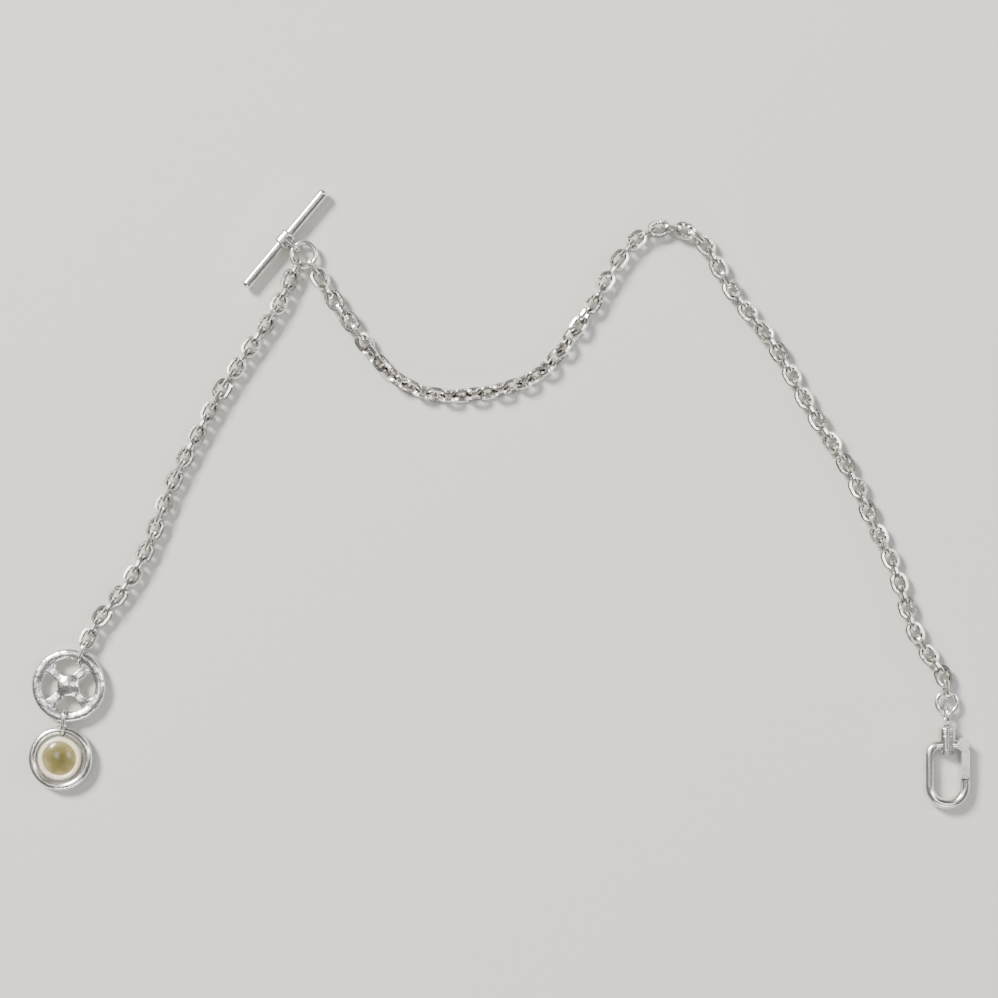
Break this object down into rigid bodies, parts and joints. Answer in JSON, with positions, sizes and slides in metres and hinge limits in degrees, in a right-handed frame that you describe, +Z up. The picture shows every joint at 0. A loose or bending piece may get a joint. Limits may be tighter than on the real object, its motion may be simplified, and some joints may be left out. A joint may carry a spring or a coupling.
{
  "type": "pocket watch chain",
  "caption": "Silver pocket watch chain of oval cable links: a T-bar and ring at the middle, a sprung swivel clasp at the watch end, and a short fob chain with a spoked wheel and a dial charm.",
  "frame": {"origin": "on the surface the chain lies on, under the middle of its box", "axes": "+Z up off the surface, +X along the length from the fob charms towards the clasp, +Y across, towards the T-bar"},
  "size_m": [0.2022, 0.1331, 0.0042],
  "materials": {
    "silver_links": "bright silver plate, softly worn",
    "bright_fittings": "polished silver plate",
    "cast_silver": "cast and tumbled silver, darker in the corners",
    "cream_enamel": "glossy cream enamel",
    "olive_stone": "polished olive-green cabochon",
    "spring_steel": "bare spring wire"
  },
  "bodies": {
    "chain_ring": {"chain_ring": "bright_fittings"},
    "t_bar": {"t_bar": "bright_fittings"},
    "fob_chain_01": {"fob_chain_links_01": "silver_links"},
    "fob_chain_02": {"fob_chain_links_02": "silver_links"},
    "fob_chain_03": {"fob_chain_links_03": "silver_links"},
    "fob_chain_04": {"fob_chain_links_04": "silver_links"},
    "fob_chain_05": {"fob_chain_links_05": "silver_links"},
    "fob_chain_06": {"fob_chain_links_06": "silver_links"},
    "fob_chain_07": {"fob_chain_links_07": "silver_links"},
    "fob_chain_08": {"fob_chain_links_08": "silver_links"},
    "fob_chain_09": {"fob_chain_links_09": "silver_links"},
    "fob_chain_10": {"fob_chain_links_10": "silver_links"},
    "fob_chain_11": {"fob_chain_links_11": "silver_links"},
    "watch_chain_01": {"watch_chain_links_01": "silver_links"},
    "watch_chain_02": {"watch_chain_links_02": "silver_links"},
    "watch_chain_03": {"watch_chain_links_03": "silver_links"},
    "watch_chain_04": {"watch_chain_links_04": "silver_links"},
    "watch_chain_05": {"watch_chain_links_05": "silver_links"},
    "watch_chain_06": {"watch_chain_links_06": "silver_links"},
    "watch_chain_07": {"watch_chain_links_07": "silver_links"},
    "watch_chain_08": {"watch_chain_links_08": "silver_links"},
    "watch_chain_09": {"watch_chain_links_09": "silver_links"},
    "watch_chain_10": {"watch_chain_links_10": "silver_links"},
    "watch_chain_11": {"watch_chain_links_11": "silver_links"},
    "watch_chain_12": {"watch_chain_links_12": "silver_links"},
    "watch_chain_13": {"watch_chain_links_13": "silver_links"},
    "watch_chain_14": {"watch_chain_links_14": "silver_links"},
    "watch_chain_15": {"watch_chain_links_15": "silver_links"},
    "watch_chain_16": {"watch_chain_links_16": "silver_links"},
    "watch_chain_17": {"watch_chain_links_17": "silver_links"},
    "watch_chain_18": {"watch_chain_links_18": "silver_links"},
    "watch_chain_19": {"watch_chain_links_19": "silver_links"},
    "watch_chain_20": {"watch_chain_links_20": "silver_links"},
    "watch_chain_21": {"watch_chain_links_21": "silver_links"},
    "watch_chain_22": {"watch_chain_links_22": "silver_links"},
    "watch_chain_23": {"watch_chain_links_23": "silver_links"},
    "watch_chain_24": {"watch_chain_links_24": "silver_links"},
    "watch_chain_25": {"watch_chain_links_25": "silver_links"},
    "watch_chain_26": {"watch_chain_links_26": "silver_links"},
    "watch_chain_27": {"watch_chain_links_27": "silver_links"},
    "wheel_ring": {"wheel_ring": "bright_fittings"},
    "fob_wheel": {"fob_wheel": "cast_silver"},
    "disc_ring": {"disc_ring": "bright_fittings"},
    "disc_charm": {"disc_case": "bright_fittings", "disc_dial": "cream_enamel", "disc_stone": "olive_stone"},
    "clasp_ring": {"clasp_ring": "bright_fittings"},
    "swivel_eye": {"swivel_eye": "bright_fittings"},
    "clasp_body": {"clasp_body": "bright_fittings", "gate_pin": "bright_fittings", "gate_spring": "spring_steel"},
    "clasp_gate": {"clasp_gate": "bright_fittings"}
  },
  "joints": [
    {"name": "bar_lift", "type": "hinge", "parent": "chain_ring", "child": "t_bar", "pos_m": [-0.04399, 0.05417, 0.00195], "axis": [0.6428, 0.766, 0], "range_deg": [0, 75]},
    {"name": "fob_chain_lift_01", "type": "hinge", "parent": "chain_ring", "child": "fob_chain_01", "pos_m": [-0.04342, 0.05032, 0.00195], "axis": [-0.8387, 0.5446, 0], "range_deg": [0, 45]},
    {"name": "fob_chain_turn_02", "type": "hinge", "parent": "fob_chain_01", "child": "fob_chain_02", "pos_m": [-0.04684, 0.04273, 0.00195], "axis": [0, 0, 1], "range_deg": [-45, 45]},
    {"name": "fob_chain_turn_03", "type": "hinge", "parent": "fob_chain_02", "child": "fob_chain_03", "pos_m": [-0.05064, 0.0368, 0.00195], "axis": [0, 0, -1], "range_deg": [-45, 45]},
    {"name": "fob_chain_turn_04", "type": "hinge", "parent": "fob_chain_03", "child": "fob_chain_04", "pos_m": [-0.05608, 0.02891, 0.00195], "axis": [0, 0, 1], "range_deg": [-45, 45]},
    {"name": "fob_chain_turn_05", "type": "hinge", "parent": "fob_chain_04", "child": "fob_chain_05", "pos_m": [-0.05985, 0.02296, 0.00195], "axis": [0, 0, -1], "range_deg": [-45, 45]},
    {"name": "fob_chain_turn_06", "type": "hinge", "parent": "fob_chain_05", "child": "fob_chain_06", "pos_m": [-0.06457, 0.01462, 0.00195], "axis": [0, 0, 1], "range_deg": [-45, 45]},
    {"name": "fob_chain_lift_07", "type": "hinge", "parent": "fob_chain_06", "child": "fob_chain_07", "pos_m": [-0.06839, 0.00724, 0.00195], "axis": [-0.8905, 0.455, 0], "range_deg": [0, 45]},
    {"name": "fob_chain_turn_08", "type": "hinge", "parent": "fob_chain_07", "child": "fob_chain_08", "pos_m": [-0.07184, -0.00032, 0.00195], "axis": [0, 0, 1], "range_deg": [-45, 45]},
    {"name": "fob_chain_turn_09", "type": "hinge", "parent": "fob_chain_08", "child": "fob_chain_09", "pos_m": [-0.07416, -0.00697, 0.00195], "axis": [0, 0, -1], "range_deg": [-45, 45]},
    {"name": "fob_chain_turn_10", "type": "hinge", "parent": "fob_chain_09", "child": "fob_chain_10", "pos_m": [-0.07837, -0.01558, 0.00195], "axis": [0, 0, 1], "range_deg": [-45, 45]},
    {"name": "fob_chain_turn_11", "type": "hinge", "parent": "fob_chain_10", "child": "fob_chain_11", "pos_m": [-0.08231, -0.02141, 0.00195], "axis": [0, 0, -1], "range_deg": [-45, 45]},
    {"name": "watch_chain_lift_01", "type": "hinge", "parent": "chain_ring", "child": "watch_chain_01", "pos_m": [-0.04047, 0.0504, 0.00195], "axis": [-0.809, -0.5878, 0], "range_deg": [0, 45]},
    {"name": "watch_chain_turn_02", "type": "hinge", "parent": "watch_chain_01", "child": "watch_chain_02", "pos_m": [-0.03592, 0.04335, 0.00195], "axis": [0, 0, 1], "range_deg": [-45, 45]},
    {"name": "watch_chain_turn_03", "type": "hinge", "parent": "watch_chain_02", "child": "watch_chain_03", "pos_m": [-0.0317, 0.03758, 0.00195], "axis": [0, 0, -1], "range_deg": [-45, 45]},
    {"name": "watch_chain_turn_04", "type": "hinge", "parent": "watch_chain_03", "child": "watch_chain_04", "pos_m": [-0.02652, 0.03021, 0.00178], "axis": [0, 0, 1], "range_deg": [-12, 10]},
    {"name": "watch_chain_turn_05", "type": "hinge", "parent": "watch_chain_04", "child": "watch_chain_05", "pos_m": [-0.02026, 0.02467, 0.00154], "axis": [0, 0, -1], "range_deg": [-15, 15]},
    {"name": "watch_chain_turn_06", "type": "hinge", "parent": "watch_chain_05", "child": "watch_chain_06", "pos_m": [-0.01228, 0.02226, 0.00154], "axis": [0, 0, 1], "range_deg": [-15, 15]},
    {"name": "watch_chain_turn_07", "type": "hinge", "parent": "watch_chain_06", "child": "watch_chain_07", "pos_m": [-0.00391, 0.02273, 0.00154], "axis": [0, 0, -1], "range_deg": [-15, 15]},
    {"name": "watch_chain_turn_08", "type": "hinge", "parent": "watch_chain_07", "child": "watch_chain_08", "pos_m": [0.00422, 0.02474, 0.00154], "axis": [0, 0, 1], "range_deg": [-15, 15]},
    {"name": "watch_chain_turn_09", "type": "hinge", "parent": "watch_chain_08", "child": "watch_chain_09", "pos_m": [0.01112, 0.02942, 0.00154], "axis": [0, 0, -1], "range_deg": [-15, 15]},
    {"name": "watch_chain_turn_10", "type": "hinge", "parent": "watch_chain_09", "child": "watch_chain_10", "pos_m": [0.0165, 0.03664, 0.0016], "axis": [0, 0, 1], "range_deg": [-6, 20]},
    {"name": "watch_chain_turn_11", "type": "hinge", "parent": "watch_chain_10", "child": "watch_chain_11", "pos_m": [0.02039, 0.04263, 0.00195], "axis": [0, 0, -1], "range_deg": [-45, 45]},
    {"name": "watch_chain_turn_12", "type": "hinge", "parent": "watch_chain_11", "child": "watch_chain_12", "pos_m": [0.02526, 0.05094, 0.00195], "axis": [0, 0, 1], "range_deg": [-45, 45]},
    {"name": "watch_chain_turn_13", "type": "hinge", "parent": "watch_chain_12", "child": "watch_chain_13", "pos_m": [0.02988, 0.05638, 0.00195], "axis": [0, 0, -1], "range_deg": [-45, 45]},
    {"name": "watch_chain_lift_14", "type": "hinge", "parent": "watch_chain_13", "child": "watch_chain_14", "pos_m": [0.03788, 0.0584, 0.00195], "axis": [-0.3465, -0.9381, 0], "range_deg": [0, 45]},
    {"name": "watch_chain_turn_15", "type": "hinge", "parent": "watch_chain_14", "child": "watch_chain_15", "pos_m": [0.04478, 0.05395, 0.00195], "axis": [0, 0, -1], "range_deg": [-45, 45]},
    {"name": "watch_chain_turn_16", "type": "hinge", "parent": "watch_chain_15", "child": "watch_chain_16", "pos_m": [0.04945, 0.04553, 0.00195], "axis": [0, 0, 1], "range_deg": [-45, 45]},
    {"name": "watch_chain_turn_17", "type": "hinge", "parent": "watch_chain_16", "child": "watch_chain_17", "pos_m": [0.05375, 0.03982, 0.00195], "axis": [0, 0, -1], "range_deg": [-45, 45]},
    {"name": "watch_chain_turn_18", "type": "hinge", "parent": "watch_chain_17", "child": "watch_chain_18", "pos_m": [0.05959, 0.03216, 0.00195], "axis": [0, 0, 1], "range_deg": [-45, 45]},
    {"name": "watch_chain_turn_19", "type": "hinge", "parent": "watch_chain_18", "child": "watch_chain_19", "pos_m": [0.06314, 0.02596, 0.00195], "axis": [0, 0, -1], "range_deg": [-45, 45]},
    {"name": "watch_chain_turn_20", "type": "hinge", "parent": "watch_chain_19", "child": "watch_chain_20", "pos_m": [0.06789, 0.01758, 0.00195], "axis": [0, 0, 1], "range_deg": [-45, 45]},
    {"name": "watch_chain_turn_21", "type": "hinge", "parent": "watch_chain_20", "child": "watch_chain_21", "pos_m": [0.07177, 0.01158, 0.00195], "axis": [0, 0, -1], "range_deg": [-45, 45]},
    {"name": "watch_chain_turn_22", "type": "hinge", "parent": "watch_chain_21", "child": "watch_chain_22", "pos_m": [0.07663, 0.00327, 0.00195], "axis": [0, 0, 1], "range_deg": [-45, 45]},
    {"name": "watch_chain_turn_23", "type": "hinge", "parent": "watch_chain_22", "child": "watch_chain_23", "pos_m": [0.07944, -0.0033, 0.00195], "axis": [0, 0, -1], "range_deg": [-45, 45]},
    {"name": "watch_chain_turn_24", "type": "hinge", "parent": "watch_chain_23", "child": "watch_chain_24", "pos_m": [0.08364, -0.01197, 0.00195], "axis": [0, 0, 1], "range_deg": [-45, 45]},
    {"name": "watch_chain_turn_25", "type": "hinge", "parent": "watch_chain_24", "child": "watch_chain_25", "pos_m": [0.0861, -0.01867, 0.00195], "axis": [0, 0, -1], "range_deg": [-45, 45]},
    {"name": "watch_chain_turn_26", "type": "hinge", "parent": "watch_chain_25", "child": "watch_chain_26", "pos_m": [0.08895, -0.02787, 0.00195], "axis": [0, 0, 1], "range_deg": [-45, 45]},
    {"name": "watch_chain_turn_27", "type": "hinge", "parent": "watch_chain_26", "child": "watch_chain_27", "pos_m": [0.09266, -0.03395, 0.00195], "axis": [0, 0, -1], "range_deg": [-45, 45]},
    {"name": "charm_ring_turn", "type": "hinge", "parent": "fob_chain_11", "child": "wheel_ring", "pos_m": [-0.08868, -0.03054, 0.0021], "axis": [0, 0, 1], "range_deg": [-45, 45]},
    {"name": "charm_wheel_lift", "type": "hinge", "parent": "wheel_ring", "child": "fob_wheel", "pos_m": [-0.08993, -0.03365, 0.0021], "axis": [-0.9272, 0.3746, 0], "range_deg": [0, 60]},
    {"name": "charm_disc_lift", "type": "hinge", "parent": "fob_wheel", "child": "disc_ring", "pos_m": [-0.09327, -0.04681, 0.0021], "axis": [-0.9936, 0.1132, 0], "range_deg": [0, 60]},
    {"name": "charm_disc_turn", "type": "hinge", "parent": "disc_ring", "child": "disc_charm", "pos_m": [-0.09366, -0.05018, 0.0021], "axis": [0, 0, 1], "range_deg": [-30, 30]},
    {"name": "clasp_ring_turn", "type": "hinge", "parent": "watch_chain_27", "child": "clasp_ring", "pos_m": [0.09604, -0.04262, 0.00195], "axis": [0, 0, 1], "range_deg": [-45, 45]},
    {"name": "clasp_lift", "type": "hinge", "parent": "clasp_ring", "child": "swivel_eye", "pos_m": [0.096, -0.04583, 0.00195], "axis": [-1, 0, 0], "range_deg": [0, 75]},
    {"name": "clasp_swivel", "type": "hinge", "parent": "swivel_eye", "child": "clasp_body", "pos_m": [0.096, -0.04889, 0.00195], "axis": [0, -1, 0], "continuous": true},
    {"name": "clasp_gate", "type": "hinge", "parent": "clasp_body", "child": "clasp_gate", "pos_m": [0.0993, -0.05259, 0.00195], "axis": [0, 0, -1], "range_deg": [0, 35], "stiffness_Nm_per_rad": 0.002, "springref_deg": -1.15}
  ]
}
